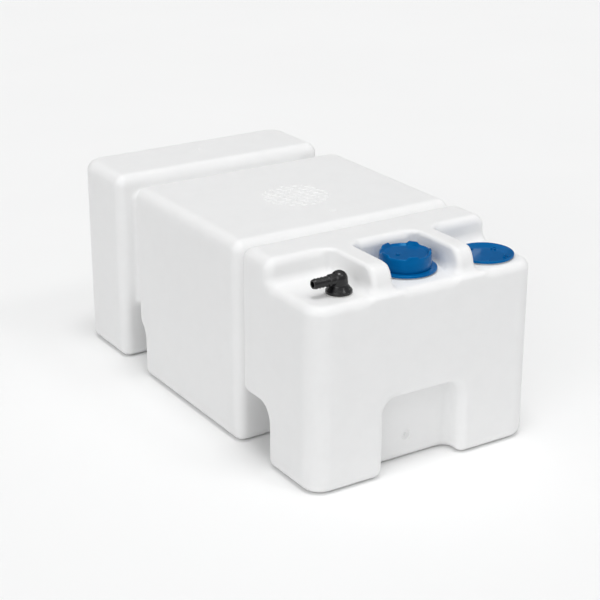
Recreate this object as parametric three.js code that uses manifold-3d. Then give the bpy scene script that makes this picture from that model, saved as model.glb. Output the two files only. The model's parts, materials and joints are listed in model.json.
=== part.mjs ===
// Fresh water tank: a ribbed polyethylene shell with a filler, an inspection lid and a suction elbow.
// Millimetres, +Z up, origin at the middle of the footprint, fittings at the -Y end.
import * as THREE from 'three';
import { mergeVertices } from 'three/addons/utils/BufferGeometryUtils.js';
import Module from 'manifold-3d';

const wasm = await Module();
wasm.setup();

// ---------------------------------------------------------------- driving dimensions
const WIDTH = 380;
const LENGTH = 710;
const HEIGHT = 312;
const WALL = 4;
const GAP = 0.3; // working gap between neighbouring pieces

const SIDE = WIDTH / 2;
const FRONT = -LENGTH / 2;
const REAR = LENGTH / 2;

const CORNER_OUTER = 31; // upright corners at the two ends
const CORNER_INNER = 20; // upright corners beside the strap grooves
const EDGE = 16; // rounding of the top and bottom edges
const LAND_EDGE = 9; // rounding of the low wall behind the pockets
const LAND_CORNER = 10;
const LAND_FOOT = 140; // the land and the front block run together below this height

const FRONT_BLOCK_END = -163;
const MIDDLE_BLOCK = [-154, 158];
const BACK_BLOCK_START = 218;
const FRONT_WAIST = [-215, -100]; // the narrower masses that join the blocks under the grooves
const REAR_WAIST = [110, 270];
const FRONT_GROOVE_DEPTH = 20;
const REAR_GROOVE_DEPTH = 28;

const FRONT_CHANNEL = { y: [-234, -154], top: 92 };
const REAR_CHANNEL = { y: [148, 218], top: 88 };
const CHANNEL_RADIUS = 22;

const POCKET_FLOOR = 277;
const POCKET_BACK = -237;
const FINS = [[-85, -51.5], [59, 88.5]]; // left and right faces of the two dividing fins
const FIN_FRONT = -341;
const FIN_NOSE_RADIUS = 34;
const FIN_EDGE = 6;
const FIN_ROOT = 30; // how far a fin runs on into the masses below and behind it

const RECESS = { x: [-70, 62], top: 117, depth: 34, radius: 22 };
const DIMPLE = { x: -10, z: 39, radius: 7.5, depth: 2 };
const CUT_MARGIN = 10; // how far a cutting body runs past the face that it cuts

const FILLER = { x: 8, y: -284.5 };
const INSPECTION = { x: 137.5, y: -300 };
const OUTLET = { x: -123, y: -314 };

const ROUND_STEPS = 24;
const NECK_FLANGE_RADIUS = 45.5;
const LID_RADIUS = 42.5;
const FLANGE_THICKNESS = 3.5;
const GASKET_THICKNESS = 1.2;

// Both screw closures use one thread form: two starts, right-handed.
const THREAD = { lead: 12, starts: 2, height: 1.8, rootHalf: 1.3, crestHalf: 0.7, embed: 0.6 };
const THREAD_CLEARANCE = 0.7;

const FILLER_HOLE_RADIUS = 32.5;
const FILLER_SPIGOT_RADIUS = 31;
const FILLER_BORE_RADIUS = 25.5;
const FILLER_CORE_RADIUS = 28.5;
const FILLER_NECK_TOP = 294.5;
const LOCK_RING = { outer: 42, bottom: 264, height: 8.5, notches: 6 };

const CAP = { skirt: 37.5, bottom: 282.7, ceiling: 296.9, dish: 300, rim: 303.3, lobeTop: 306.6, wall: 2.2 };
const CAP_LOBE = { count: 5, firstDegrees: 36, halfAngle: 0.24, radialWidth: 3.2, sink: 1 };
const VENT = { offset: 13, hole: 2.2, stem: 1.9, head: 3.2, height: 1.6 };

const INSPECTION_HOLE_RADIUS = 38.8;
const INSERT = { outer: 38.5, foot: 39.5, footBottom: 266, footTop: 270.8, bottom: 262.5, top: 276.7 };
const PLUG = { core: 33, wall: 3, bottom: 262, ceiling: 273.8, dish: 277.3 };
const LID_RIM = { flat: 3, slope: 9 };
const LID_THREAD_START = 265;

const ELBOW = { base: 18.6, body: 12, bore: 5, spoutZ: 19.3, shank: 9.5, shankEnd: 258 };
const ELBOW_HOLE_RADIUS = 10.5;
const SPOUT = { tube: 7.6, neck: 6.4, crest: 7.5, valley: 6.3, bore: 4.4 };
const BARBS = [[28, 32.8], [32.8, 37.6], [37.6, 42.5]];
const WASHER = { radius: 17, thickness: 1.5 };
const LOCK_NUT = { corner: 17.5, height: 8 };
const TAIL = { radius: 7, end: 244 };
const PICKUP = { outer: 9.5, inner: 7.3, bottom: 26 };
const STRAINER = { outer: 13, inner: 11, bottom: 8, top: 36, slots: 8 };

// ---------------------------------------------------------------- solids
function asSolid(geometry) {
  geometry.deleteAttribute('normal');
  geometry.deleteAttribute('uv');
  const merged = mergeVertices(geometry, 1e-4);
  const index = merged.index.array;
  const corners = [];
  for (let i = 0; i < index.length; i += 3) {
    const [a, b, c] = [index[i], index[i + 1], index[i + 2]];
    if (a !== b && b !== c && c !== a) corners.push(a, b, c);
  }
  const build = (list) => new wasm.Manifold(new wasm.Mesh({
    numProp: 3,
    vertProperties: new Float32Array(merged.attributes.position.array),
    triVerts: new Uint32Array(list),
  }));
  const body = build(corners);
  return body.volume() < 0 ? build(corners.reverse()) : body;
}

function unite(bodies) {
  return bodies.reduce((sum, body) => sum.add(body));
}

function geometryOf(body) {
  const mesh = body.getMesh();
  const geometry = new THREE.BufferGeometry();
  geometry.setAttribute('position', new THREE.BufferAttribute(mesh.vertProperties, 3));
  geometry.setIndex(new THREE.BufferAttribute(mesh.triVerts, 1));
  geometry.computeVertexNormals();
  return geometry;
}

// A rectangle with one corner radius at its low-y end and another at its high-y end.
function roundedOutline([x0, x1], [y0, y1], lowRadius, highRadius) {
  const shape = new THREE.Shape();
  shape.absarc(x0 + lowRadius, y0 + lowRadius, lowRadius, Math.PI, Math.PI * 1.5);
  shape.absarc(x1 - lowRadius, y0 + lowRadius, lowRadius, Math.PI * 1.5, Math.PI * 2);
  shape.absarc(x1 - highRadius, y1 - highRadius, highRadius, 0, Math.PI * 0.5);
  shape.absarc(x0 + highRadius, y1 - highRadius, highRadius, Math.PI * 0.5, Math.PI);
  shape.closePath();
  return shape;
}

// A block with rounded upright corners and rounded top and bottom edges, drawn in by the inset.
function pillow({ x, y, z, front, rear, rounding = EDGE }, inset) {
  const edge = rounding - inset;
  const steps = inset > 0 ? 2 : 3;
  const shape = roundedOutline(
    [x[0] + inset, x[1] - inset],
    [y[0] + inset, y[1] - inset],
    front - inset,
    rear - inset,
  );
  const geometry = new THREE.ExtrudeGeometry(shape, {
    depth: z[1] - z[0] - 2 * inset - 2 * edge,
    bevelThickness: edge,
    bevelSize: edge,
    bevelOffset: -edge,
    bevelSegments: steps,
    curveSegments: steps + 1,
  });
  geometry.translate(0, 0, z[0] + inset + edge);
  return asSolid(geometry);
}

// A shape drawn in the YZ plane, extruded along X.
function extrudeAlongX(shape, [x0, x1], bevel, curveSegments) {
  const geometry = new THREE.ExtrudeGeometry(shape, {
    depth: x1 - x0 - 2 * bevel,
    bevelEnabled: bevel > 0,
    bevelThickness: bevel,
    bevelSize: bevel,
    bevelOffset: -bevel,
    bevelSegments: 2,
    curveSegments,
  });
  geometry.applyMatrix4(new THREE.Matrix4().set(0, 0, 1, x0 + bevel, 1, 0, 0, 0, 0, 1, 0, 0, 0, 0, 0, 1));
  return asSolid(geometry);
}

// A shape drawn in the XZ plane, extruded along -Y from the given y.
function extrudeAlongY(shape, y, depth) {
  const geometry = new THREE.ExtrudeGeometry(shape, { depth, bevelEnabled: false, curveSegments: 4 });
  geometry.rotateX(Math.PI / 2);
  geometry.translate(0, y, 0);
  return asSolid(geometry);
}

// A turned piece: [radius, z] pairs that start and end on the axis, or a loop that closes on itself.
function turned(profile, steps = ROUND_STEPS) {
  const points = profile.map(([radius, z]) => new THREE.Vector2(radius, z));
  if (profile[0][0] > 0) points.push(points[0].clone());
  const geometry = new THREE.LatheGeometry(points, steps);
  geometry.rotateX(Math.PI / 2);
  return asSolid(geometry);
}

function tube(inner, outer, z0, z1, steps = ROUND_STEPS) {
  return turned([[inner, z0], [outer, z0], [outer, z1], [inner, z1]], steps);
}

function rod(radius, z0, z1, steps = ROUND_STEPS) {
  return turned([[0, z0], [radius, z0], [radius, z1], [0, z1]], steps);
}

function block(width, depth, height, x, y, z) {
  const geometry = new THREE.BoxGeometry(width, depth, height);
  geometry.translate(x, y, z);
  return asSolid(geometry);
}

// One helical ridge. side is 1 for a ridge that stands out of a core and -1 for one inside a bore.
function ridge(rootRadius, side, startAngle, startZ, turns) {
  const crest = rootRadius + side * THREAD.height;
  const root = rootRadius - side * THREAD.embed;
  const section = [
    [root, -THREAD.rootHalf],
    [crest, -THREAD.crestHalf],
    [crest, THREAD.crestHalf],
    [root, THREAD.rootHalf],
  ];
  const steps = Math.round(turns * ROUND_STEPS);
  const positions = [];
  const index = [];
  for (let i = 0; i <= steps; i += 1) {
    const turn = (i / steps) * turns;
    const angle = startAngle + turn * Math.PI * 2;
    for (const [radius, rise] of section) {
      const z = startZ + turn * THREAD.lead + rise;
      positions.push(radius * Math.cos(angle), radius * Math.sin(angle), z);
    }
  }
  for (let i = 0; i < steps; i += 1) {
    for (let j = 0; j < 4; j += 1) {
      const a = i * 4 + j;
      const b = i * 4 + ((j + 1) % 4);
      index.push(a, b, b + 4, a, b + 4, a + 4);
    }
  }
  const last = steps * 4;
  index.push(0, 2, 1, 0, 3, 2, last, last + 1, last + 2, last, last + 2, last + 3);
  const geometry = new THREE.BufferGeometry();
  geometry.setAttribute('position', new THREE.Float32BufferAttribute(positions, 3));
  geometry.setIndex(index);
  return asSolid(geometry);
}

function ridges(rootRadius, side, startAngle, startZ, turns) {
  const starts = Array.from({ length: THREAD.starts }, (_, i) => (i / THREAD.starts) * Math.PI * 2);
  return unite(starts.map((offset) => ridge(rootRadius, side, startAngle + offset, startZ, turns)));
}

// ---------------------------------------------------------------- tank shell
// The same masses make the outside (no inset) and, drawn in by the wall, the inside.
const MASSES = [
  {
    x: [-SIDE, SIDE], y: [FRONT, FRONT_BLOCK_END], z: [0, POCKET_FLOOR],
    front: CORNER_OUTER, rear: CORNER_INNER,
  },
  {
    x: [-SIDE, SIDE], y: [POCKET_BACK, FRONT_BLOCK_END], z: [LAND_FOOT, HEIGHT],
    front: LAND_CORNER, rear: CORNER_INNER, rounding: LAND_EDGE,
  },
  {
    x: [-SIDE, SIDE], y: MIDDLE_BLOCK, z: [0, HEIGHT],
    front: CORNER_INNER, rear: CORNER_INNER,
  },
  {
    x: [-SIDE, SIDE], y: [BACK_BLOCK_START, REAR], z: [0, HEIGHT],
    front: CORNER_INNER, rear: CORNER_OUTER,
  },
  {
    x: [FRONT_GROOVE_DEPTH - SIDE, SIDE - FRONT_GROOVE_DEPTH], y: FRONT_WAIST,
    z: [FRONT_CHANNEL.top, HEIGHT - FRONT_GROOVE_DEPTH],
    front: CORNER_INNER, rear: CORNER_INNER,
  },
  {
    x: [REAR_GROOVE_DEPTH - SIDE, SIDE - REAR_GROOVE_DEPTH], y: REAR_WAIST,
    z: [REAR_CHANNEL.top, HEIGHT - REAR_GROOVE_DEPTH],
    front: CORNER_INNER, rear: CORNER_INNER,
  },
];

// A dividing fin: upright, with a quarter-round nose, running back into the mass behind the pockets.
function fin([x0, x1], inset) {
  const front = FIN_FRONT + inset;
  const top = HEIGHT - inset;
  const nose = FIN_NOSE_RADIUS - inset;
  const bottom = POCKET_FLOOR - FIN_ROOT;
  const back = POCKET_BACK + FIN_ROOT;
  const shape = new THREE.Shape();
  shape.moveTo(front, bottom);
  shape.lineTo(back, bottom);
  shape.lineTo(back, top);
  shape.absarc(front + nose, top - nose, nose, Math.PI / 2, Math.PI);
  shape.closePath();
  return extrudeAlongX(shape, [x0 + inset, x1 - inset], FIN_EDGE - inset, 4);
}

function channel({ y, top }, grow) {
  const radius = CHANNEL_RADIUS + grow;
  const [y0, y1] = [y[0] - grow, y[1] + grow];
  const roof = top + grow;
  const shape = new THREE.Shape();
  shape.moveTo(y0, -CUT_MARGIN);
  shape.lineTo(y1, -CUT_MARGIN);
  shape.absarc(y1 - radius, roof - radius, radius, 0, Math.PI / 2);
  shape.absarc(y0 + radius, roof - radius, radius, Math.PI / 2, Math.PI);
  shape.closePath();
  return extrudeAlongX(shape, [-SIDE - CUT_MARGIN, SIDE + CUT_MARGIN], 0, 4);
}

function recess(grow) {
  const radius = RECESS.radius + grow;
  const [x0, x1] = [RECESS.x[0] - grow, RECESS.x[1] + grow];
  const roof = RECESS.top + grow;
  const shape = new THREE.Shape();
  shape.moveTo(x0, -CUT_MARGIN);
  shape.lineTo(x1, -CUT_MARGIN);
  shape.absarc(x1 - radius, roof - radius, radius, 0, Math.PI / 2);
  shape.absarc(x0 + radius, roof - radius, radius, Math.PI / 2, Math.PI);
  shape.closePath();
  return extrudeAlongY(shape, FRONT + RECESS.depth + grow, RECESS.depth + grow + CUT_MARGIN);
}

function tankVolume(inset) {
  const masses = MASSES.map((mass) => pillow(mass, inset));
  const fins = FINS.map((faces) => fin(faces, inset));
  const cuts = [channel(FRONT_CHANNEL, inset), channel(REAR_CHANNEL, inset), recess(inset)];
  return unite([...masses, ...fins]).subtract(unite(cuts));
}

function portHole({ x, y }, radius) {
  return rod(radius, POCKET_FLOOR - CUT_MARGIN, POCKET_FLOOR + CUT_MARGIN).translate(x, y, 0);
}

function tankShell() {
  const dimple = rod(DIMPLE.radius, -DIMPLE.depth, 5, 12).rotate([90, 0, 0])
    .translate(DIMPLE.x, FRONT + RECESS.depth, DIMPLE.z);
  return tankVolume(0)
    .subtract(tankVolume(WALL))
    .subtract(portHole(FILLER, FILLER_HOLE_RADIUS))
    .subtract(portHole(INSPECTION, INSPECTION_HOLE_RADIUS))
    .subtract(portHole(OUTLET, ELBOW_HOLE_RADIUS))
    .subtract(dimple);
}

// ---------------------------------------------------------------- filler
const FLANGE_BOTTOM = POCKET_FLOOR + GAP + GASKET_THICKNESS + GAP;
const FLANGE_TOP = FLANGE_BOTTOM + FLANGE_THICKNESS;
const CAP_THREAD_START = FLANGE_TOP + 2.7;
const MALE_TURNS = 0.6;
const FEMALE_TURNS = 0.75;
const QUARTER_TURN = Math.PI / 2;

function flatGasket(inner, outer) {
  return tube(inner, outer, POCKET_FLOOR + GAP, POCKET_FLOOR + GAP + GASKET_THICKNESS);
}

// The outer edge of a flange, from its underside to its top.
function flangeRim(radius) {
  return [
    [radius - 0.8, FLANGE_BOTTOM],
    [radius, FLANGE_BOTTOM + 1],
    [radius, FLANGE_TOP - 1.2],
    [radius - 1.2, FLANGE_TOP],
  ];
}

function fillerNeck() {
  const bottom = LOCK_RING.bottom - 2;
  const body = turned([
    [FILLER_BORE_RADIUS, bottom],
    [FILLER_SPIGOT_RADIUS, bottom],
    [FILLER_SPIGOT_RADIUS, FLANGE_BOTTOM],
    ...flangeRim(NECK_FLANGE_RADIUS),
    [FILLER_CORE_RADIUS, FLANGE_TOP],
    [FILLER_CORE_RADIUS, FILLER_NECK_TOP],
    [FILLER_BORE_RADIUS, FILLER_NECK_TOP],
  ]);
  return body.add(ridges(FILLER_CORE_RADIUS, 1, 0, CAP_THREAD_START, MALE_TURNS));
}

function fillerLockRing() {
  const ring = tube(
    FILLER_SPIGOT_RADIUS + GAP, LOCK_RING.outer,
    LOCK_RING.bottom, LOCK_RING.bottom + LOCK_RING.height,
  );
  const notches = Array.from({ length: LOCK_RING.notches }, (_, i) => (
    block(8, 10, 20, LOCK_RING.outer, 0, LOCK_RING.bottom + 2).rotate([0, 0, (i * 360) / LOCK_RING.notches])
  ));
  return ring.subtract(unite(notches));
}

function fillerCap() {
  const bore = FILLER_CORE_RADIUS + THREAD.height + THREAD_CLEARANCE;
  const sleeve = bore + CAP.wall;
  const skirtInside = CAP.skirt - CAP.wall;
  const body = turned([
    [0, CAP.ceiling],
    [bore, CAP.ceiling],
    [bore, CAP.bottom],
    [sleeve, CAP.bottom],
    [sleeve, CAP.ceiling - 1],
    [skirtInside, CAP.ceiling - 1],
    [skirtInside, CAP.bottom],
    [CAP.skirt, CAP.bottom],
    [CAP.skirt, CAP.rim - 2],
    [CAP.skirt - 1.5, CAP.rim],
    [CAP.skirt - 4, CAP.rim],
    [CAP.skirt - 7.5, CAP.dish],
    [0, CAP.dish],
  ]);
  const lobes = Array.from({ length: CAP_LOBE.count }, (_, i) => (
    capLobe(CAP_LOBE.firstDegrees + (i / CAP_LOBE.count) * 360)
  ));
  const vent = rod(VENT.hole, CAP.ceiling - CUT_MARGIN, CAP.dish + CUT_MARGIN, 16)
    .translate(-VENT.offset, 0, 0);
  const thread = ridges(bore, -1, QUARTER_TURN, CAP_THREAD_START, FEMALE_TURNS);
  return unite([body, ...lobes, thread]).subtract(vent);
}

// A raised finger grip on the cap's rim.
function capLobe(degrees) {
  const half = CAP_LOBE.halfAngle;
  const outer = CAP.skirt - 0.5;
  const inner = outer - CAP_LOBE.radialWidth;
  const shape = new THREE.Shape();
  shape.absarc(0, 0, outer, -half, half);
  shape.absarc(0, 0, inner, half, -half, true);
  shape.closePath();
  const depth = CAP.lobeTop - CAP.rim + CAP_LOBE.sink;
  const geometry = new THREE.ExtrudeGeometry(shape, { depth, bevelEnabled: false, curveSegments: 3 });
  geometry.translate(0, 0, CAP.rim - CAP_LOBE.sink);
  return asSolid(geometry).rotate([0, 0, degrees]);
}

function capGasket() {
  return tube(FILLER_BORE_RADIUS - 1, FILLER_CORE_RADIUS, FILLER_NECK_TOP + GAP, CAP.ceiling - GAP);
}

function ventPlug() {
  return turned([
    [0, CAP.ceiling - 1.5],
    [VENT.stem, CAP.ceiling - 1.5],
    [VENT.stem, CAP.dish + GAP],
    [VENT.head, CAP.dish + GAP],
    [VENT.head - 0.6, CAP.dish + VENT.height - 0.2],
    [0, CAP.dish + VENT.height],
  ], 16).translate(-VENT.offset, 0, 0);
}

// ---------------------------------------------------------------- inspection port
const INSERT_BORE = PLUG.core + THREAD.height + THREAD_CLEARANCE;

function inspectionInsert() {
  const body = turned([
    [INSERT_BORE, INSERT.bottom],
    [INSERT.outer, INSERT.bottom],
    [INSERT.outer, INSERT.footBottom],
    [INSERT.foot, INSERT.footBottom],
    [INSERT.foot, INSERT.footTop],
    [INSERT.outer, INSERT.footTop],
    [INSERT.outer, INSERT.top],
    [INSERT_BORE, INSERT.top],
  ]);
  return body.add(ridges(INSERT_BORE, -1, QUARTER_TURN, LID_THREAD_START, FEMALE_TURNS));
}

function inspectionLid() {
  const body = turned([
    [0, PLUG.ceiling],
    [PLUG.core - PLUG.wall - 0.5, PLUG.ceiling],
    [PLUG.core - PLUG.wall, PLUG.bottom],
    [PLUG.core, PLUG.bottom],
    [PLUG.core, FLANGE_BOTTOM],
    ...flangeRim(LID_RADIUS),
    [LID_RADIUS - LID_RIM.flat, FLANGE_TOP],
    [LID_RADIUS - LID_RIM.flat - LID_RIM.slope / 2, (FLANGE_TOP + PLUG.dish) / 2 - 1],
    [LID_RADIUS - LID_RIM.flat - LID_RIM.slope, PLUG.dish],
    [0, PLUG.dish],
  ]);
  return body.add(ridges(PLUG.core, 1, 0, LID_THREAD_START, MALE_TURNS));
}

// ---------------------------------------------------------------- suction elbow
const WASHER_TOP = POCKET_FLOOR - WALL - GAP;

function elbowWasher() {
  return tube(ELBOW.shank + GAP, WASHER.radius, WASHER_TOP - WASHER.thickness, WASHER_TOP, 24);
}

function elbowFitting() {
  const floor = FLANGE_BOTTOM;
  const dome = [0, 1, 2, 3, 4].map((i) => {
    const angle = (i / 4) * QUARTER_TURN;
    return [ELBOW.body * Math.cos(angle), floor + ELBOW.spoutZ + ELBOW.body * Math.sin(angle)];
  });
  dome[dome.length - 1][0] = 0;
  const upright = turned([
    [0, TAIL.end],
    [TAIL.radius, TAIL.end],
    [TAIL.radius, ELBOW.shankEnd],
    [ELBOW.shank, ELBOW.shankEnd],
    [ELBOW.shank, floor],
    [ELBOW.base, floor],
    [ELBOW.base, floor + 3],
    [ELBOW.base - 1.8, floor + 6],
    [ELBOW.body + 1.8, floor + 10.5],
    [ELBOW.body, floor + 14],
    ...dome,
  ], 24);
  const spoutEnd = BARBS[BARBS.length - 1][1];
  const spout = turned([
    [0, 0],
    [SPOUT.tube, 0],
    [SPOUT.tube, 20],
    [SPOUT.neck, 27],
    ...BARBS.flatMap(([start, end]) => [[SPOUT.crest, start], [SPOUT.valley, end - 0.4]]),
    [0, spoutEnd],
  ], 20).rotate([0, -90, 0]).translate(0, 0, floor + ELBOW.spoutZ);
  const waterway = rod(ELBOW.bore, TAIL.end - 5, floor + ELBOW.spoutZ, 16);
  const outlet = rod(SPOUT.bore, 0, spoutEnd + 5, 16).rotate([0, -90, 0])
    .translate(0, 0, floor + ELBOW.spoutZ);
  return upright.add(spout).subtract(waterway.add(outlet));
}

function lockNut() {
  const points = Array.from({ length: 6 }, (_, i) => {
    const angle = (i / 6) * Math.PI * 2;
    return new THREE.Vector2(LOCK_NUT.corner * Math.cos(angle), LOCK_NUT.corner * Math.sin(angle));
  });
  const shape = new THREE.Shape(points);
  const bottom = WASHER_TOP - WASHER.thickness - GAP - LOCK_NUT.height;
  const geometry = new THREE.ExtrudeGeometry(shape, { depth: LOCK_NUT.height, bevelEnabled: false });
  geometry.translate(0, 0, bottom);
  return asSolid(geometry).subtract(rod(ELBOW.shank + GAP, bottom - CUT_MARGIN, POCKET_FLOOR, 24));
}

function pickupTube() {
  return tube(PICKUP.inner, PICKUP.outer, PICKUP.bottom, ELBOW.shankEnd - GAP, 16);
}

function pickupStrainer() {
  const cup = turned([
    [0, STRAINER.bottom],
    [STRAINER.outer, STRAINER.bottom],
    [STRAINER.outer, STRAINER.top - 4],
    [PICKUP.outer + 2, STRAINER.top],
    [PICKUP.outer + GAP, STRAINER.top],
    [PICKUP.outer + GAP, PICKUP.bottom - 1],
    [STRAINER.inner, PICKUP.bottom - 2.5],
    [STRAINER.inner, STRAINER.bottom + 2],
    [0, STRAINER.bottom + 2],
  ], 24);
  const slots = Array.from({ length: STRAINER.slots / 2 }, (_, i) => (
    block(40, 3, 10, 0, 0, 17).rotate([0, 0, (i * 360) / STRAINER.slots])
  ));
  return cup.subtract(unite(slots));
}

// ---------------------------------------------------------------- assembly
const polyethylene = { color: 0xe9ecec, roughness: 0.55, metalness: 0 };
const blueNylon = { color: 0x0064aa, roughness: 0.3, metalness: 0 };
const blackNylon = { color: 0x141416, roughness: 0.25, metalness: 0 };
const silicone = { color: 0xe4e4e0, roughness: 0.6, metalness: 0 };
const whiteNylon = { color: 0xf0f0ee, roughness: 0.45, metalness: 0 };
const clearHose = { color: 0xdfe6e8, roughness: 0.3, metalness: 0 };

const tank = new THREE.Group();

function place(name, body, finish, port) {
  const mesh = new THREE.Mesh(geometryOf(body), new THREE.MeshStandardMaterial(finish));
  mesh.name = name;
  if (port) mesh.position.set(port.x, port.y, 0);
  tank.add(mesh);
}

place('tank_shell', tankShell(), polyethylene);
place('filler_neck', fillerNeck(), blueNylon, FILLER);
place('filler_neck_gasket', flatGasket(FILLER_SPIGOT_RADIUS + GAP, NECK_FLANGE_RADIUS - 2), silicone, FILLER);
place('filler_lock_ring', fillerLockRing(), blueNylon, FILLER);
place('filler_cap', fillerCap(), blueNylon, FILLER);
place('filler_cap_gasket', capGasket(), silicone, FILLER);
place('filler_vent_plug', ventPlug(), blueNylon, FILLER);
place('inspection_insert', inspectionInsert(), whiteNylon, INSPECTION);
place('inspection_lid', inspectionLid(), blueNylon, INSPECTION);
place('inspection_lid_gasket', flatGasket(INSERT_BORE, LID_RADIUS - 1.5), silicone, INSPECTION);
place('elbow_fitting', elbowFitting(), blackNylon, OUTLET);
place('elbow_gasket', flatGasket(ELBOW.shank + GAP, ELBOW.base - 0.6), silicone, OUTLET);
place('elbow_washer', elbowWasher(), whiteNylon, OUTLET);
place('elbow_lock_nut', lockNut(), blackNylon, OUTLET);
place('pickup_tube', pickupTube(), clearHose, OUTLET);
place('pickup_strainer', pickupStrainer(), whiteNylon, OUTLET);

export default tank;
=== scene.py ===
"""Fresh water tank: the moulded shell, its screw closures and its suction elbow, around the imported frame."""

import json
import math

import bmesh
import bpy
import numpy as np
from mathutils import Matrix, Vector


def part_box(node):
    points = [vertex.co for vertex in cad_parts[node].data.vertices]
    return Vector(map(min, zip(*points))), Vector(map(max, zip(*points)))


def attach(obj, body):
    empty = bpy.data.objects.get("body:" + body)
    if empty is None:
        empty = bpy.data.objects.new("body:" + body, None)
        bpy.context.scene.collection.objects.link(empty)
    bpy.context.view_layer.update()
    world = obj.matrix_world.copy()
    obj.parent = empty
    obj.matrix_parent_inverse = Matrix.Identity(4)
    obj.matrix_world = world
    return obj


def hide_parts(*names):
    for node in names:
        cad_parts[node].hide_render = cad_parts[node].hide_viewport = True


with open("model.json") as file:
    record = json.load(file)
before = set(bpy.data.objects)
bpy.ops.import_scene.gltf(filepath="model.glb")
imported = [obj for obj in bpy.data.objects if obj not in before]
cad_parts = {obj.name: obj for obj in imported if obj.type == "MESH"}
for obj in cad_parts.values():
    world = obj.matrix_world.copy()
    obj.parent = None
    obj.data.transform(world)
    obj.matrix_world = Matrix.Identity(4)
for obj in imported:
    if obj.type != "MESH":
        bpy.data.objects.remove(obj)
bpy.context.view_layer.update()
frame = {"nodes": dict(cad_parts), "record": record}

MM = 0.001
TAU = 2 * math.pi


# ---------------------------------------------------------------- camera
CAMERA_PLACE = (-1.2247, -1.9549, 1.0423)
CAMERA_HEADING = -32.36
CAMERA_DROP = 21.42
CAMERA_LENS = 94.4


def make_camera():
    camera = bpy.data.objects.new("camera", bpy.data.cameras.new("camera"))
    camera.data.lens = CAMERA_LENS
    camera.location = CAMERA_PLACE
    camera.rotation_euler = (math.radians(90 - CAMERA_DROP), 0, math.radians(CAMERA_HEADING))
    bpy.context.collection.objects.link(camera)
    bpy.context.scene.camera = camera


make_camera()


# ---------------------------------------------------------------- frame helpers
record = frame["record"]
slot_of = {part["node"]: part["material_slot"] for part in record["subparts"]}
body_of = {node: body for body, nodes in record["behaviour"]["bodies"].items() for node in nodes}


def box_mm(node):
    """Lowest and highest corner of a CAD node, in millimetres."""
    low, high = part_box(node)
    return np.array(low) / MM, np.array(high) / MM


def stand_for(piece, *nodes):
    """The piece takes the place of the CAD nodes: their body, material slot and finish."""
    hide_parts(*nodes)
    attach(piece, body_of[nodes[0]])
    piece.data.materials.clear()
    piece.data.materials.append(finishes[slot_of[nodes[0]]])
    piece.data.polygons.foreach_set("material_index", [0] * len(piece.data.polygons))


# ---------------------------------------------------------------- materials
class Finish:
    """A Principled material built from object-space procedural textures."""

    def __init__(self, name):
        self.material = bpy.data.materials.new(name)
        self.material.use_nodes = True
        self.tree = self.material.node_tree
        self.shader = self.tree.nodes["Principled BSDF"]
        self.place = self.tree.nodes.new("ShaderNodeTexCoord").outputs["Object"]

    def set(self, **values):
        for socket, value in values.items():
            self.shader.inputs[socket.replace("_", " ")].default_value = value
        return self

    def noise(self, size, detail=3.0, roughness=0.5, stretch=(1, 1, 1)):
        """Cloudy noise with features of the given size in metres."""
        mapping = self.tree.nodes.new("ShaderNodeMapping")
        mapping.inputs["Scale"].default_value = stretch
        texture = self.tree.nodes.new("ShaderNodeTexNoise")
        texture.inputs["Scale"].default_value = 1 / size
        texture.inputs["Detail"].default_value = detail
        texture.inputs["Roughness"].default_value = roughness
        self.tree.links.new(self.place, mapping.inputs["Vector"])
        self.tree.links.new(mapping.outputs["Vector"], texture.inputs["Vector"])
        return texture.outputs["Fac"]

    def ramp(self, value, low, high, start=0.3, end=0.7):
        """Maps a noise value to colours between low and high."""
        ramp = self.tree.nodes.new("ShaderNodeValToRGB")
        ramp.color_ramp.elements[0].position = start
        ramp.color_ramp.elements[1].position = end
        ramp.color_ramp.elements[0].color = (*low, 1)
        ramp.color_ramp.elements[1].color = (*high, 1)
        self.tree.links.new(value, ramp.inputs["Fac"])
        return ramp.outputs["Color"]

    def span(self, value, low, high):
        """Maps a noise value to numbers between low and high."""
        node = self.tree.nodes.new("ShaderNodeMapRange")
        node.inputs["From Min"].default_value = 0.3
        node.inputs["From Max"].default_value = 0.7
        node.inputs["To Min"].default_value = low
        node.inputs["To Max"].default_value = high
        self.tree.links.new(value, node.inputs["Value"])
        return node.outputs["Result"]

    def drive(self, socket, value):
        self.tree.links.new(value, self.shader.inputs[socket])
        return self

    def bump(self, *layers):
        """Each layer is (height value, depth in metres, strength)."""
        normal = None
        for height, depth, strength in layers:
            node = self.tree.nodes.new("ShaderNodeBump")
            node.inputs["Distance"].default_value = depth
            node.inputs["Strength"].default_value = strength
            self.tree.links.new(height, node.inputs["Height"])
            if normal:
                self.tree.links.new(normal, node.inputs["Normal"])
            normal = node.outputs["Normal"]
        self.tree.links.new(normal, self.shader.inputs["Normal"])
        return self


def polyethylene():
    """Milky rotomoulded polyethylene: faint clouds, satin skin with a fine orange peel."""
    finish = Finish("tank_polyethylene")
    clouds = finish.noise(0.03, 4, 0.6)
    skin = finish.noise(0.011, 3)
    grain = finish.noise(0.0011, 2)
    finish.set(Subsurface_Weight=0.4, Subsurface_Scale=0.014, Subsurface_Radius=(1, 0.99, 0.97), IOR=1.5)
    finish.set(Specular_IOR_Level=0.3)
    finish.drive("Base Color", finish.ramp(clouds, (0.925, 0.927, 0.926), (0.945, 0.947, 0.945)))
    finish.drive("Roughness", finish.span(skin, 0.42, 0.55))
    return finish.bump((skin, 0.0006, 0.12), (grain, 0.0001, 0.25)).material


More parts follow.
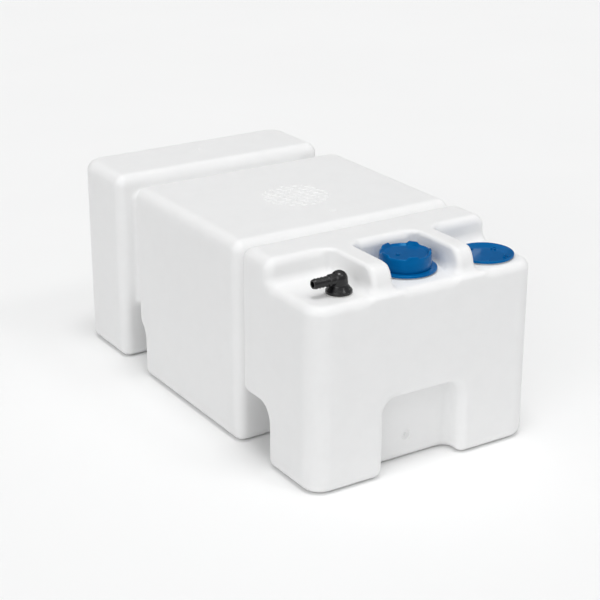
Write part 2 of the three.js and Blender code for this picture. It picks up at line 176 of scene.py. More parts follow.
def glossy_nylon(name, low, high, roughness, ior=1.5, tint=(1, 1, 1)):
    """Injection-moulded nylon: slight flow marks in colour and gloss, a nearly smooth skin."""
    finish = Finish(name)
    flow = finish.noise(0.014, 3, stretch=(1, 1, 2.5))
    skin = finish.noise(0.0016, 2)
    finish.set(Specular_Tint=(*tint, 1), IOR=ior)
    finish.drive("Base Color", finish.ramp(flow, low, high))
    finish.drive("Roughness", finish.span(flow, *roughness))
    return finish.bump((flow, 0.0002, 0.1), (skin, 0.00004, 0.2)).material


def silicone():
    """White food-grade silicone: soft, slightly cloudy, with a fine matt bloom."""
    finish = Finish("white_silicone")
    bloom = finish.noise(0.006, 4, 0.6)
    grain = finish.noise(0.0006, 3)
    finish.set(Subsurface_Weight=0.3, Subsurface_Scale=0.003, Subsurface_Radius=(1, 0.97, 0.9), IOR=1.42)
    finish.drive("Base Color", finish.ramp(bloom, (0.74, 0.74, 0.71), (0.80, 0.80, 0.78)))
    finish.drive("Roughness", finish.span(bloom, 0.5, 0.65))
    return finish.bump((grain, 0.00005, 0.3)).material


def vinyl_hose():
    finish = Finish("clear_hose")
    haze = finish.noise(0.01, 3)
    rings = finish.noise(0.003, 2, stretch=(1, 1, 0.3))
    finish.set(Subsurface_Weight=0.2, Subsurface_Scale=0.002, IOR=1.53)
    finish.drive("Base Color", finish.ramp(haze, (0.68, 0.74, 0.75), (0.79, 0.84, 0.84)))
    finish.drive("Roughness", finish.span(haze, 0.2, 0.38))
    return finish.bump((rings, 0.0001, 0.3)).material


finishes = {
    "tank_polyethylene": polyethylene(),
    "blue_nylon": glossy_nylon(
        "blue_nylon", (0.0, 0.098, 0.30), (0.0, 0.108, 0.33), (0.13, 0.19), 1.38, (0.1, 0.6, 1)
    ),
    "black_nylon": glossy_nylon("black_nylon", (0.003, 0.003, 0.004), (0.008, 0.008, 0.009), (0.2, 0.3)),
    "white_nylon": glossy_nylon("white_nylon", (0.80, 0.80, 0.77), (0.88, 0.88, 0.86), (0.34, 0.48)),
    "white_silicone": silicone(),
    "clear_hose": vinyl_hose(),
}


# ---------------------------------------------------------------- mesh helpers
def make_object(name, points_mm, faces):
    mesh = bpy.data.meshes.new(name)
    mesh.from_pydata((np.asarray(points_mm) * MM).tolist(), [], faces)
    mesh.update()
    made = bpy.data.objects.new(name, mesh)
    bpy.context.collection.objects.link(made)
    return made


def smooth(piece, angle=35):
    piece.data.shade_smooth()
    piece.data.set_sharp_from_angle(angle=math.radians(angle))


def softened(corners, closed, steps=4):
    """A profile with rounded corners. Each corner is (radius from the axis, height, rounding)."""
    points = []
    count = len(corners)
    for i, (r, z, rounding) in enumerate(corners):
        here = np.array((r, z), float)
        if rounding == 0 or (not closed and i in (0, count - 1)):
            points.append(here)
            continue
        back = np.array(corners[i - 1][:2], float) - here
        ahead = np.array(corners[(i + 1) % count][:2], float) - here
        back /= np.linalg.norm(back)
        ahead /= np.linalg.norm(ahead)
        half = math.acos(np.clip(back @ ahead, -1, 1)) / 2
        bisector = (back + ahead) / np.linalg.norm(back + ahead)
        centre = here + bisector * rounding / math.sin(half)
        start = here + back * rounding / math.tan(half) - centre
        sweep = math.pi - 2 * half
        turn = math.copysign(sweep, back[1] * ahead[0] - back[0] * ahead[1])
        for k in range(steps + 1):
            a = turn * k / steps
            spun = (
                start[0] * math.cos(a) - start[1] * math.sin(a),
                start[0] * math.sin(a) + start[1] * math.cos(a),
            )
            points.append(centre + spun)
    return points


def turned(name, profile, centre, steps=96, closed=False, shape=None):
    """Spins a profile of (radius, height) about an upright axis. shape(angle, r, z) may alter each point."""
    points = []
    rings = []
    angles = np.arange(steps) * TAU / steps
    for r, z in profile:
        if r < 1e-6:
            rings.append([len(points)])
            points.append((centre[0], centre[1], z))
            continue
        rr, zz = (np.full(steps, r), np.full(steps, z)) if shape is None else shape(angles, r, z)
        rings.append(list(range(len(points), len(points) + steps)))
        points.extend(zip(centre[0] + rr * np.cos(angles), centre[1] + rr * np.sin(angles), zz))
    faces = []
    pairs = list(zip(rings, rings[1:] + rings[:1])) if closed else list(zip(rings, rings[1:]))
    for low, high in pairs:
        for i in range(steps):
            j = (i + 1) % steps
            quad = [low[i % len(low)], low[j % len(low)], high[j % len(high)], high[i % len(high)]]
            faces.append(list(dict.fromkeys(quad)))
    made = make_object(name, points, faces)
    face_outward(made)
    return made


def face_outward(piece):
    shape = bmesh.new()
    shape.from_mesh(piece.data)
    bmesh.ops.recalc_face_normals(shape, faces=shape.faces)
    if shape.calc_volume(signed=True) < 0:
        bmesh.ops.reverse_faces(shape, faces=shape.faces)
    shape.to_mesh(piece.data)
    shape.free()


def combine(piece, tool, operation):
    """Joins or cuts with another closed mesh, which is used up."""
    modifier = piece.modifiers.new("combine", "BOOLEAN")
    modifier.object = tool
    modifier.operation = operation
    modifier.solver = "MANIFOLD"
    depsgraph = bpy.context.evaluated_depsgraph_get()
    result = bpy.data.meshes.new_from_object(piece.evaluated_get(depsgraph))
    piece.modifiers.clear()
    piece.data = result
    bpy.data.objects.remove(tool)


# ---------------------------------------------------------------- tank shell
SIDE = box_mm("tank_shell")[1][0]
FRONT = box_mm("tank_shell")[0][1]
REAR = box_mm("tank_shell")[1][1]
TOP = box_mm("tank_shell")[1][2]
WALL = 4
FULL_WIDTH = (-SIDE, SIDE)

TOP_EDGE = 18
BOTTOM_EDGE = 15
END_CORNER = 31
GROOVE_CORNER = 16

FRONT_BLOCK_END = -163
MIDDLE_BLOCK = (-154, 158)
MIDDLE_OVERRUN = 60
GROOVE_EDGE = 7
NECK_EDGE = 8
NECK_TOP_EDGE = 15
BACK_BLOCK_START = 218
FRONT_NECK = dict(inset=20, y=(-215, -100), bottom=98, fillet=4.4)
REAR_NECK = dict(inset=28, y=(110, 270), bottom=94, fillet=8)
FRONT_CHANNEL = dict(start=-234, roof=92, radius=25, lip=12)
REAR_CHANNEL = dict(start=148, roof=88, radius=25, lip=14)

POCKET_FLOOR = 277
POCKET_BACK = -237
POCKET_LIP = 13
POCKET_FILLET = 12
SMALLEST_FILLET = 1.5
FINS = ((-85, -51.5), (59, 88.5))
FIN_FRONT = -341
FIN_NOSE = 34
FIN_EDGE = 8
FIN_LIP = 6
LIP_BLEND = (6, 12)  # distance from a fin where the lip starts to grow, and over which it does

RECESS = dict(x=(-70, 62), roof=117, depth=34, corner=21, fillet=12, lip=14)
DIMPLE = dict(x=-10, z=39, radius=8, depth=2.2, core=2.6, core_depth=3.1)

PORTS = {
    "filler_neck": 32.5,
    "inspection_lid": 38.8,
    "elbow_fitting": 10.5,
}
DRILL_REACH = (12, 8)  # how far a port's drill goes below and above the pocket floor


def port_axis(node):
    """The upright axis of a fitting. The elbow's spout is left out by reading its gasket."""
    low, high = box_mm({"elbow_fitting": "elbow_gasket"}.get(node, node))
    return (low[0] + high[0]) / 2, (low[1] + high[1]) / 2


def flange_radius(node):
    low, high = box_mm(node)
    return (high[0] - low[0]) / 2


def rounded(a, b, r):
    """Where both fields are inside, with the edge between them rounded."""
    return np.minimum(-r, np.maximum(a, b)) + np.hypot(np.maximum(r + a, 0), np.maximum(r + b, 0))


def filleted(a, b, r):
    """Where either field is inside, with a fillet where they meet."""
    return np.maximum(r, np.minimum(a, b)) - np.hypot(np.maximum(r - a, 0), np.maximum(r - b, 0))


def cut(a, b, r):
    """The first field without the second, with the new edge rounded."""
    return rounded(a, -b, r)


def ease(value):
    value = np.clip(value, 0, 1)
    return value * value * (3 - 2 * value)


def slab(value, ends):
    return np.abs(value - (ends[0] + ends[1]) / 2) - (ends[1] - ends[0]) / 2


def pillow(x, y, z, spans, low_corner, high_corner, top, bottom):
    """A block with its own roundings: upright corners at low and high y, top and bottom edges."""
    corner = np.where(y < sum(spans[1]) / 2, low_corner, high_corner)
    edge = np.where(z < sum(spans[2]) / 2, bottom, top)
    return rounded(rounded(slab(x, spans[0]), slab(y, spans[1]), corner), slab(z, spans[2]), edge)


def foot_fillet(x, y):
    """The fillet at the pocket floor, drawn in where a flange comes close to a wall."""
    reach = np.full(np.shape(x), float(POCKET_FILLET))
    for node in ("filler_neck", "inspection_lid"):
        px, py = port_axis(node)
        reach = np.minimum(reach, np.hypot(x - px, y - py) - flange_radius(node))
    return np.clip(reach, SMALLEST_FILLET, POCKET_FILLET)


def pocket_lip(x):
    """The rounding of the pockets' upper edges, tighter on the fins than on the land behind."""
    away = np.minimum.reduce([slab(x, faces) for faces in FINS])
    return FIN_LIP + (POCKET_LIP - FIN_LIP) * ease((away - LIP_BLEND[0]) / LIP_BLEND[1])


def fin(x, y, z, faces):
    """A dividing fin with a round nose in front."""
    centre_y = FIN_FRONT + FIN_NOSE
    centre_z = POCKET_FLOOR + FIN_EDGE
    nose = np.hypot(np.maximum(centre_y - y, 0), np.maximum(z - centre_z, 0)) - FIN_NOSE
    return rounded(slab(x, faces), nose, FIN_EDGE)


def front_block(x, y, z):
    spans = (FULL_WIDTH, (FRONT, FRONT_BLOCK_END), (0, TOP))
    block = pillow(x, y, z, spans, END_CORNER, GROOVE_CORNER, TOP_EDGE, BOTTOM_EDGE)
    fillet = foot_fillet(x, y)
    pocket = rounded(POCKET_FLOOR - z, y - POCKET_BACK, fillet)
    for faces in FINS:
        pocket = cut(pocket, fin(x, y, z, faces), fillet)
    block = cut(block, pocket, pocket_lip(x))
    channel = rounded(FRONT_CHANNEL["start"] - y, z - FRONT_CHANNEL["roof"], FRONT_CHANNEL["radius"])
    block = cut(block, channel, FRONT_CHANNEL["lip"])
    outline = rounded(slab(x, RECESS["x"]), z - RECESS["roof"], RECESS["corner"])
    recess = rounded(outline, y - FRONT - RECESS["depth"], RECESS["fillet"])
    return cut(block, recess, RECESS["lip"])


def neck(x, y, z, shape):
    """The lower part that joins two blocks across a strap groove."""
    width = (shape["inset"] - SIDE, SIDE - shape["inset"])
    spans = (width, shape["y"], (shape["bottom"], TOP - shape["inset"]))
    return pillow(x, y, z, spans, NECK_EDGE, NECK_EDGE, NECK_TOP_EDGE, NECK_EDGE)


def middle_block(x, y, z):
    """The long block, with a tighter edge where its rear face meets the strap groove."""
    spans = (FULL_WIDTH, (MIDDLE_BLOCK[0], MIDDLE_BLOCK[1] + MIDDLE_OVERRUN), (0, TOP))
    block = pillow(x, y, z, spans, GROOVE_CORNER, GROOVE_CORNER, TOP_EDGE, BOTTOM_EDGE)
    block = rounded(block, y - MIDDLE_BLOCK[1], GROOVE_EDGE)
    channel = rounded(REAR_CHANNEL["start"] - y, z - REAR_CHANNEL["roof"], REAR_CHANNEL["radius"])
    return cut(block, channel, REAR_CHANNEL["lip"])


def tank_field(x, y, z):
    """Signed distance in millimetres to the outside of the shell, negative in plastic and hollow."""
    front = front_block(x, y, z)
    middle = middle_block(x, y, z)
    back_spans = (FULL_WIDTH, (BACK_BLOCK_START, REAR), (0, TOP))
    back = pillow(x, y, z, back_spans, GROOVE_CORNER, END_CORNER, TOP_EDGE, BOTTOM_EDGE)
    pairs = ((front, FRONT_NECK), (middle, FRONT_NECK), (middle, REAR_NECK), (back, REAR_NECK))
    joints = [filleted(block, neck(x, y, z, shape), shape["fillet"]) for block, shape in pairs]
    return np.minimum.reduce(joints)


# Moulded relief on the top faces: centre, radius and height.
WAVE_DISC = dict(
    x=1, y=-8, radius=53, height=1.0, spacing=11, swing=1.8, wavelength=19, dash=14, stagger=0.18
)
MOULD_MARKS = (dict(x=9, y=-98.5, radius=6, height=0.7), dict(x=1, y=294, radius=6, height=0.7))


def relief(x, y, z):
    """Height of the moulded decoration: a disc of wavy ridges and two small rings."""
    disc = WAVE_DISC
    away = np.hypot(x - disc["x"], y - disc["y"])
    wave = disc["swing"] * np.sin(TAU * x / disc["wavelength"] + y * 0.31)
    row = (y + wave) / disc["spacing"]
    ridge = ease(np.cos(TAU * row) * 1.6 + 0.2)
    dash = ease(np.sin(TAU * (x / disc["dash"] + np.round(row) * disc["stagger"])) * 1.8 + 1.1)
    height = disc["height"] * ridge * dash * ease((disc["radius"] - away) / 2)
    for mark in MOULD_MARKS:
        away = np.hypot(x - mark["x"], y - mark["y"])
        height = height + mark["height"] * ease(1.5 - np.abs(away - mark["radius"] + 1.5))
    return height * (z > TOP - 8)


def outer_field(x, y, z):
    return tank_field(x, y, z) - relief(x, y, z)


def inner_field(x, y, z):
    return tank_field(x, y, z) + WALL


def gradient(field, points, step=0.05):
    """Direction in which the field grows fastest, by central differences."""
    columns = []
    for axis in range(3):
        ahead = points.copy()
        behind = points.copy()
        ahead[:, axis] += step
        behind[:, axis] -= step
        columns.append((field(*ahead.T) - field(*behind.T)) / (2 * step))
    return np.stack(columns, axis=1)


def settle(field, points, rounds=4, limit=1.5):
    """Moves points onto the surface of the field."""
    for _ in range(rounds):
        slope = gradient(field, points)
        square = np.maximum((slope**2).sum(axis=1), 0.05)
        move = (field(*points.T) / square)[:, None] * slope
        length = np.linalg.norm(move, axis=1, keepdims=True)
        points = points - move * np.minimum(1, limit / np.maximum(length, 1e-9))
    return points


def graded(low, high, fine_bands, fine, coarse):
    """Grid lines that are close together inside the bands and wide apart elsewhere."""
    lines = [low]
    while lines[-1] < high:
        inside = any(start - coarse <= lines[-1] <= end for start, end in fine_bands)
        lines.append(lines[-1] + (fine if inside else coarse))
    return np.array(lines)


def surface_net(field, lines):
    """A closed quad mesh of the field's zero surface on a grid of graded lines."""
    x, y, z = lines
    value = field(x[:, None, None], y[None, :, None], z[None, None, :])
    inside = value < 0
    shape = tuple(n - 1 for n in value.shape)
    total = np.zeros(shape + (3,))
    count = np.zeros(shape)
    edges = []
    for axis in range(3):
        low = [slice(None)] * 3
        high = [slice(None)] * 3
        low[axis] = slice(0, -1)
        high[axis] = slice(1, None)
        crossing = inside[tuple(low)] != inside[tuple(high)]
        index = np.argwhere(crossing)
        a = value[tuple(low)][crossing]
        b = value[tuple(high)][crossing]
        point = np.stack([lines[k][index[:, k]] for k in range(3)], axis=1)
        step = lines[axis][index[:, axis] + 1] - lines[axis][index[:, axis]]
        point[:, axis] += step * a / (a - b)
        others = [k for k in range(3) if k != axis]
        cells = []
        for shift in ((0, 0), (-1, 0), (-1, -1), (0, -1)):
            cell = index.copy()
            cell[:, others[0]] += shift[0]
            cell[:, others[1]] += shift[1]
            np.add.at(total, tuple(cell.T), point)
            np.add.at(count, tuple(cell.T), 1)
            cells.append(cell)
        flip = (a < b) == (axis == 1)
        edges.append((cells, flip))
    used = count > 0
    number = np.full(shape, -1)
    number[used] = np.arange(used.sum())
    points = total[used] / count[used][:, None]
    faces = []
    for cells, flip in edges:
        quads = np.stack([number[tuple(cell.T)] for cell in cells], axis=1)
        quads[flip] = quads[flip][:, ::-1]
        faces.append(quads)
    return settle(field, points), np.concatenate(faces)


FINE_X = ((-SIDE, 32 - SIDE), (-97, -30), (28, 97), (SIDE - 32, SIDE))
FINE_Y = ((FRONT, FRONT + 52), (-252, -134), (134, 238), (REAR - 36, REAR))
FINE_Z = ((0, 18), (66, 122), (POCKET_FLOOR - 16, TOP))
OUTSIDE_GRID = (3.5, 7.9)
INSIDE_GRID = (7.9, 15.1)


def make_shell():
    bands = (FINE_X, FINE_Y, FINE_Z)
    spans = ((-SIDE, SIDE), (FRONT, REAR), (0, TOP))
    grids = []
    for fine, coarse in (OUTSIDE_GRID, INSIDE_GRID):
        grids.append([graded(s[0] - 2.3, s[1] + coarse, b, fine, coarse) for s, b in zip(spans, bands)])
    outside, outside_faces = surface_net(outer_field, grids[0])
    inside, inside_faces = surface_net(inner_field, grids[1])
    skin = make_object("tank_shell_outside", outside, outside_faces.tolist())
    refine_relief(skin)
    outside = settle(outer_field, vertex_array(skin) / MM)
    outside_faces = [list(face.vertices) for face in skin.data.polygons]
    inside_faces = (inside_faces[:, ::-1] + len(outside)).tolist()
    bpy.data.objects.remove(skin)
    shell = make_object("tank_shell_moulded", np.vstack([outside, inside]), outside_faces + inside_faces)
    low, high = POCKET_FLOOR - DRILL_REACH[0], POCKET_FLOOR + DRILL_REACH[1]
    for node, radius in PORTS.items():
        drill = [(0, low), (radius, low), (radius, high), (0, high)]
        combine(shell, turned("drill", drill, port_axis(node), steps=72), "DIFFERENCE")
    combine(shell, dimple_drill(), "DIFFERENCE")
    set_exact_normals(shell)
    stand_for(shell, "tank_shell")


def dimple_drill():
    """A ball-nosed drill for the blind mark where a drain tap can be fitted."""
    radius, depth, core = DIMPLE["radius"], DIMPLE["depth"], DIMPLE["core"]
    profile = [(0, -DIMPLE["core_depth"]), (core * 0.6, -DIMPLE["core_depth"])]
    for a in np.linspace(math.asin(core / radius), TAU / 4, 8):
        profile.append((radius * math.sin(a), -depth * math.cos(a)))
    profile += [(radius + 0.6, 0.5), (radius + 0.6, 6), (0, 6)]
    drill = turned("drill", profile, (0, 0), steps=48)
    points = vertex_array(drill)
    place = np.array((DIMPLE["x"], FRONT + RECESS["depth"], DIMPLE["z"])) * MM
    set_vertices(drill, np.stack([points[:, 0], -points[:, 2], points[:, 1]], axis=1) + place)
    return drill


def vertex_array(piece):
    flat = np.zeros(len(piece.data.vertices) * 3)
    piece.data.vertices.foreach_get("co", flat)
    return flat.reshape(-1, 3)


def set_vertices(piece, points):
    piece.data.vertices.foreach_set("co", points.ravel())
    piece.data.update()


def refine_relief(skin, cuts=6):
    """Splits the faces under the moulded decoration so that it has real depth."""
    mesh = bmesh.new()
    mesh.from_mesh(skin.data)
    chosen = set()
    for mark in (WAVE_DISC, *MOULD_MARKS):
        for face in mesh.faces:
            centre = face.calc_center_median() / MM
            near = math.hypot(centre.x - mark["x"], centre.y - mark["y"]) < mark["radius"] + 5
            if near and centre.z > TOP - 3:
                chosen.update(face.edges)
    bmesh.ops.subdivide_edges(mesh, edges=list(chosen), cuts=cuts, use_grid_fill=True)
    bmesh.ops.triangulate(mesh, faces=[face for face in mesh.faces if len(face.verts) > 4])
    mesh.to_mesh(skin.data)
    mesh.free()


def set_exact_normals(shell, limit=0.8):
    """Takes each corner's normal from the field, except where a face turns away from it."""
    points = vertex_array(shell) / MM
    outward = gradient(outer_field, points, 0.1)
    outward /= np.maximum(np.linalg.norm(outward, axis=1, keepdims=True), 1e-9)
    mesh = shell.data
    mesh.shade_smooth()
    corner_vertex = np.zeros(len(mesh.loops), dtype=int)
    mesh.loops.foreach_get("vertex_index", corner_vertex)
    face_normals = np.zeros(len(mesh.polygons) * 3)
    mesh.polygons.foreach_get("normal", face_normals)
    sizes = np.zeros(len(mesh.polygons), dtype=int)
    mesh.polygons.foreach_get("loop_total", sizes)
    flat = np.repeat(face_normals.reshape(-1, 3), sizes, axis=0)
    exact = outward[corner_vertex]
    facing = (exact * flat).sum(axis=1)
    exact = np.where(facing[:, None] < 0, -exact, exact)
    exact = np.where(np.abs(facing)[:, None] < limit, flat, exact)
    mesh.normals_split_custom_set(exact.tolist())


make_shell()


# ---------------------------------------------------------------- fittings
FINE_STEPS = 120
THREAD = dict(lead=12, starts=2, height=1.8, crest=0.6, root=1.4, fade=0.03)
MALE_TURNS = 0.6
FEMALE_TURNS = 0.75
GAP = 0.3


class Ring:
    """The radii and heights of a round CAD node about its own upright axis."""

    def __init__(self, node, axis=None):
        low, high = box_mm(node)
        self.axis = axis or port_axis(node)
        points = vertex_array(frame["nodes"][node])[:, :2] / MM - self.axis
        self.inner = np.hypot(*points.T).min()
        self.outer = (high[0] - low[0]) / 2
        self.low = low[2]
        self.high = high[2]


def threaded(root, side, start_angle, start_z, turns):
    """A shape for turned(): helical ridges on the wall at the root radius."""

    def shape(angles, r, z):
        heights = np.full(len(angles), z)
        if abs(r - root) > 0.01:
            return np.full(len(angles), r), heights
        rise = np.zeros(len(angles))
        for start in range(THREAD["starts"]):
            turn = ((angles - start_angle) / TAU - start / THREAD["starts"]) % 1
            away = np.abs(z - start_z - turn * THREAD["lead"])
            flank = ease((THREAD["root"] - away) / (THREAD["root"] - THREAD["crest"]))
            ends = ease(np.minimum(turn, turns - turn) / THREAD["fade"])
            rise = np.maximum(rise, flank * ends)
        return r + side * THREAD["height"] * rise, heights

    return shape


def dense(profile, radius, closed, step=0.4):
    """Adds points along the straight wall at one radius, so that a thread can be shaped on it."""
    result = []
    count = len(profile)
    for i, point in enumerate(profile):
        result.append(tuple(point))
        if i == count - 1 and not closed:
            break
        following = profile[(i + 1) % count]
        if abs(point[0] - radius) > 0.01 or abs(following[0] - radius) > 0.01:
            continue
        rows = max(1, round(abs(following[1] - point[1]) / step))
        result.extend((radius, point[1] + (following[1] - point[1]) * k / rows) for k in range(1, rows))
    return result


SEALS = (
    "filler_neck_gasket", "filler_cap_gasket", "inspection_lid_gasket", "elbow_gasket", "elbow_washer"
)


def make_seals():
    """Flat rings with rolled edges: the four gaskets and the washer inside."""
    for node in SEALS:
        ring = Ring(node)
        roll = (ring.high - ring.low) * 0.35
        corners = [
            (ring.inner, ring.low, roll),
            (ring.outer, ring.low, roll),
            (ring.outer, ring.high, roll),
            (ring.inner, ring.high, roll),
        ]
        seal = turned(node + "_turned", softened(corners, True), ring.axis, closed=True)
        smooth(seal)
        stand_for(seal, node)


def make_filler_neck():
    neck_ring = Ring("filler_neck")
    seat = Ring("filler_neck_gasket")
    lock = Ring("filler_lock_ring")
    spigot = lock.inner - GAP
    flange_low = seat.high + GAP
    flange_high = flange_low + 3.5
    core = neck_ring.inner + 3
    corners = [
        (neck_ring.inner, neck_ring.low, 0.6),
        (spigot, neck_ring.low, 0.6),
        (spigot, flange_low, 0.4),
        (neck_ring.outer, flange_low, 0.5),
        (neck_ring.outer, flange_high, 1.5),
        (core, flange_high, 0.8),
        (core, neck_ring.high, 0.8),
        (neck_ring.inner, neck_ring.high, 0.8),
    ]
    profile = dense(softened(corners, True), core, True)
    shape = threaded(core, 1, 0, flange_high + 2.7, MALE_TURNS)
    neck_piece = turned("filler_neck_turned", profile, neck_ring.axis, FINE_STEPS, True, shape)
    smooth(neck_piece)
    stand_for(neck_piece, "filler_neck")


CAP = dict(
    wall=2.2, rim=303.3, taper=0.5, rim_width=3.6, dish=3.0, crown=0.7,
    lobes=5, lobe_phase=0.63, lobe_height=3.3, lobe_half=0.29, lobe_edge=0.13, vent=2.2,
)


def make_filler_cap():
    cap = Ring("filler_cap")
    neck_ring = Ring("filler_neck")
    plug = Ring("filler_vent_plug")
    ceiling = Ring("filler_cap_gasket").high + GAP
    rim = CAP["rim"]
    dish = rim - CAP["dish"]
    bore = neck_ring.inner + 3 + THREAD["height"] + 0.7
    sleeve = bore + CAP["wall"]
    skirt = cap.outer
    corners = [
        (0, ceiling, 0),
        (bore, ceiling, 0.5),
        (bore, cap.low, 0.5),
        (sleeve, cap.low, 0.5),
        (sleeve, ceiling - 1, 0.4),
        (skirt - CAP["wall"], ceiling - 1, 0.4),
        (skirt - CAP["wall"], cap.low, 0.5),
        (skirt, cap.low, 0.6),
        (skirt - CAP["taper"], rim, 2.2),
        (skirt - CAP["rim_width"], rim, 1.2),
        (skirt - CAP["rim_width"] - 3.5, dish, 2.5),
        (0, dish + CAP["crown"], 0),
    ]
    profile = dense(softened(corners, False, 6), bore, False)
    thread = threaded(bore, -1, TAU / 4, cap.low + 2.3, FEMALE_TURNS)

    def shape(angles, r, z):
        radii, heights = thread(angles, r, z)
        step = TAU / CAP["lobes"]
        away = np.abs((angles - CAP["lobe_phase"] + step / 2) % step - step / 2)
        lobe = ease((CAP["lobe_half"] - away) / CAP["lobe_edge"])
        share = ease((z - dish) / CAP["dish"]) * ease((r - skirt + 8) / 3)
        return radii, heights + CAP["lobe_height"] * lobe * share

    piece = turned("filler_cap_moulded", profile, cap.axis, 168, False, shape)
    bore_hole = [(0, ceiling - 4), (CAP["vent"], ceiling - 4), (CAP["vent"], rim + 5), (0, rim + 5)]
    combine(piece, turned("drill", bore_hole, plug.axis, 24), "DIFFERENCE")
    smooth(piece)
    stand_for(piece, "filler_cap")
    dome = [
        (0, plug.low, 0),
        (1.9, plug.low, 0.3),
        (1.9, dish + CAP["crown"] + 0.1, 0.1),
        (plug.outer, dish + CAP["crown"] + 0.1, 0.3),
        (plug.outer - 0.2, dish + 1.6, 0.5),
        (plug.outer - 1.6, dish + 2.5, 0.8),
        (0, dish + 2.8, 0),
    ]
    vent = turned("filler_vent_plug_turned", softened(dome, False), plug.axis, 32)
    smooth(vent, 50)
    stand_for(vent, "filler_vent_plug")


LID = dict(
    core=33, rim=2.6, slope=9, dish=5, crown=0.6,
    pip=1.6, pip_spread=3.2, pip_groups=5, pip_phase=-0.82,
)


def make_inspection_lid():
    lid = Ring("inspection_lid")
    seat = Ring("inspection_lid_gasket")
    core = LID["core"]
    flange_low = seat.high + GAP
    floor = lid.high - LID["dish"]
    corners = [
        (0, floor - 3.5, 0),
        (core - 3.5, floor - 3.5, 1),
        (core - 3, lid.low, 0.6),
        (core, lid.low, 0.6),
        (core, flange_low, 0.5),
        (lid.outer, flange_low, 0.5),
        (lid.outer, lid.high, 1.4),
        (lid.outer - LID["rim"], lid.high, 1.2),
        (lid.outer - LID["rim"] - LID["slope"], floor, 7),
        (0, floor + LID["crown"], 0),
    ]
    profile = dense(softened(corners, False, 6), core, False)
    thread = threaded(core, 1, 0, lid.low + 3, MALE_TURNS)
    piece = turned("inspection_lid_moulded", profile, lid.axis, FINE_STEPS, False, thread)
    for pip in lid_pips(lid, floor):
        combine(piece, pip, "UNION")
    smooth(piece)
    stand_for(piece, "inspection_lid")


def lid_pips(lid, floor):
    """Round grip pips in groups of three near the foot of the dish's slope."""
    radius = lid.outer - LID["rim"] - LID["slope"] - 1
    pips = []
    for group in range(LID["pip_groups"]):
        angle = LID["pip_phase"] + group * TAU / LID["pip_groups"]
        for k in range(3):
            turn = angle + k * TAU / 3
            x = lid.axis[0] + radius * math.cos(angle) + LID["pip_spread"] * math.cos(turn)
            y = lid.axis[1] + radius * math.sin(angle) + LID["pip_spread"] * math.sin(turn)
            lift = 1.6 if k == 0 else 0.9
            profile = [(0, floor - 1), (LID["pip"], floor - 1)]
            for a in np.linspace(0, TAU / 4, 6)[:-1]:
                profile.append((LID["pip"] * math.cos(a), floor + lift + LID["pip"] * math.sin(a)))
            profile.append((0, floor + lift + LID["pip"]))
            pips.append(turned("pip", profile, (x, y), 20))
    return pips


def make_inspection_insert():
    insert = Ring("inspection_insert")
    body = insert.outer - 1
    bore = LID["core"] + THREAD["height"] + 0.7
    foot = (insert.low + 3.5, insert.low + 8.3)
    corners = [
        (bore, insert.low, 0.5),
        (body, insert.low, 0.5),
        (body, foot[0], 0.3),
        (insert.outer, foot[0], 0.4),
        (insert.outer, foot[1], 0.4),
        (body, foot[1], 0.3),
        (body, insert.high, 0.5),
        (bore, insert.high, 0.5),
    ]
    profile = dense(softened(corners, True), bore, True)
    shape = threaded(bore, -1, TAU / 4, insert.low + 2.5, FEMALE_TURNS)
    piece = turned("inspection_insert_turned", profile, insert.axis, FINE_STEPS, True, shape)
    smooth(piece)
    stand_for(piece, "inspection_insert")


ELBOW = dict(
    base=18.6, body=12, spout_rise=19.3, riser=5, steps=72,
    root=7.6, collar=8.7, barb=7.5, waist=6.3, bore=4.4, barbs=4, barb_pitch=5.4,
)


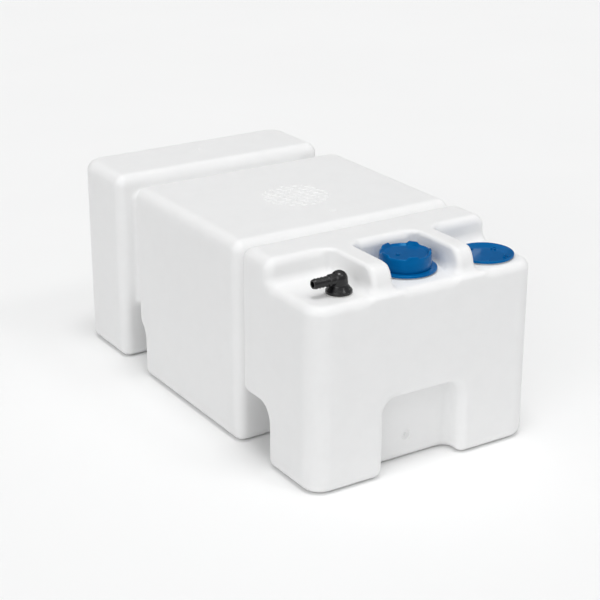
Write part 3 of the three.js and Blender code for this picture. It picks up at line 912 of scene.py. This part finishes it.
def make_elbow():
    low, high = box_mm("elbow_fitting")
    seat = Ring("elbow_gasket")
    hose = Ring("pickup_tube")
    axis = seat.axis
    floor = seat.high + GAP
    spout_z = floor + ELBOW["spout_rise"]
    spout_end = axis[0] - low[0]
    body = ELBOW["body"]
    corners = [
        (0, low[2], 0),
        (hose.inner - GAP, low[2], 0.6),
        (hose.inner - GAP, hose.high + GAP, 0.3),
        (seat.inner - GAP, hose.high + GAP, 0.6),
        (seat.inner - GAP, floor, 0.3),
        (ELBOW["base"], floor, 0.5),
        (ELBOW["base"], floor + 3.8, 1.8),
        (ELBOW["base"] - 3, floor + 7.5, 2.5),
        (body + 0.6, floor + 11.5, 5),
        (body, spout_z, 0),
    ]
    profile = softened(corners, False)
    profile += [(body * math.cos(a), spout_z + body * math.sin(a)) for a in np.linspace(0, TAU / 4, 12)[1:-1]]
    profile.append((0, spout_z + body))
    piece = turned("elbow_moulded", profile, axis, ELBOW["steps"])
    spout_corners = [
        (0, 0, 0),
        (ELBOW["root"], 0, 0),
        (ELBOW["collar"], 10, 0.5),
        (ELBOW["collar"], 16, 0.9),
        (ELBOW["root"] - 0.5, 17.5, 0.5),
        (ELBOW["waist"], 20.5, 1),
    ]
    for i in range(ELBOW["barbs"]):
        start = spout_end - ELBOW["barb_pitch"] * (ELBOW["barbs"] - i)
        spout_corners += [
            (ELBOW["barb"], start + 0.4, 0.15),
            (ELBOW["waist"], start + ELBOW["barb_pitch"] - 0.2, 0.2),
        ]
    spout_corners.append((ELBOW["waist"] - 0.2, spout_end, 0.4))
    spout_corners.append((0, spout_end, 0))
    spout = turned("spout", softened(spout_corners, False), (0, 0), ELBOW["steps"])
    bore = [(0, 0), (ELBOW["bore"], 0), (ELBOW["bore"], spout_end + 5), (0, spout_end + 5)]
    channel = turned("channel", bore, (0, 0), 48)
    for tube in (spout, channel):
        aim_left(tube, (*axis, spout_z))
    combine(piece, spout, "UNION")
    riser = [(0, low[2] - 5), (ELBOW["riser"], low[2] - 5), (ELBOW["riser"], spout_z), (0, spout_z)]
    combine(piece, turned("riser", riser, axis, 48), "DIFFERENCE")
    combine(piece, channel, "DIFFERENCE")
    smooth(piece, 40)
    stand_for(piece, "elbow_fitting")


def aim_left(piece, place):
    """Turns an upright piece at the origin to point along -X from a place."""
    points = vertex_array(piece)
    set_vertices(piece, np.stack([-points[:, 2], points[:, 1], points[:, 0]], axis=1) + np.array(place) * MM)


make_seals()
make_filler_neck()
make_filler_cap()
make_inspection_lid()
make_inspection_insert()
make_elbow()


# ---------------------------------------------------------------- pieces kept from the CAD, inside the shell
for node in ("filler_lock_ring", "elbow_lock_nut", "pickup_tube", "pickup_strainer"):
    for slot in frame["nodes"][node].material_slots:
        slot.material = finishes[slot_of[node]]


# ---------------------------------------------------------------- floor and light
FLOOR_REACH = 9000


def make_stage():
    reach = FLOOR_REACH
    corners = [(-reach, -reach, 0), (reach, -reach, 0), (reach, reach, 0), (-reach, reach, 0)]
    floor = make_object("floor", corners, [(0, 1, 2, 3)])
    finish = Finish("floor")
    mottle = finish.noise(0.5)
    finish.drive("Base Color", finish.ramp(mottle, (0.895, 0.897, 0.897), (0.905, 0.907, 0.907)))
    finish.set(Roughness=0.9, Specular_IOR_Level=0.1)
    floor.data.materials.append(finish.material)
    bpy.context.scene.view_settings.view_transform = "Standard"


def make_sky(overhead, front, back):
    """A soft light overhead that fades to a bright studio in front and a dim one behind."""
    world = bpy.data.worlds.new("studio")
    world.use_nodes = True
    tree = world.node_tree
    direction = tree.nodes.new("ShaderNodeTexCoord")
    parts = tree.nodes.new("ShaderNodeSeparateXYZ")
    tree.links.new(direction.outputs["Generated"], parts.inputs["Vector"])

    def fade(axis, start, end, low, high):
        node = tree.nodes.new("ShaderNodeMapRange")
        node.interpolation_type = "SMOOTHSTEP"
        node.inputs["From Min"].default_value = start
        node.inputs["From Max"].default_value = end
        tree.links.new(parts.outputs[axis], node.inputs["Value"])
        for socket, value in (("To Min", low), ("To Max", high)):
            if isinstance(value, float):
                node.inputs[socket].default_value = value
            else:
                tree.links.new(value, node.inputs[socket])
        return node.outputs["Result"]

    around = fade("Y", -0.4, 0.5, front, back)
    tree.links.new(fade("Z", 0.35, 0.75, around, overhead), tree.nodes["Background"].inputs["Color"])
    bpy.context.scene.world = world


def make_sun(name, heading, height, strength, softness):
    sun = bpy.data.objects.new(name, bpy.data.lights.new(name, "SUN"))
    sun.data.energy = strength
    sun.data.angle = math.radians(softness)
    sun.rotation_euler = (math.radians(90 - height), 0, math.radians(heading))
    bpy.context.collection.objects.link(sun)


make_stage()
make_sky(0.6, 0.5, 0.1)
make_sun("fill", -60, 27, 0.62, 40)
make_sun("key", -20, 82, 1.2, 25)
make_sun("glint", 30, 50, 0.2, 12)
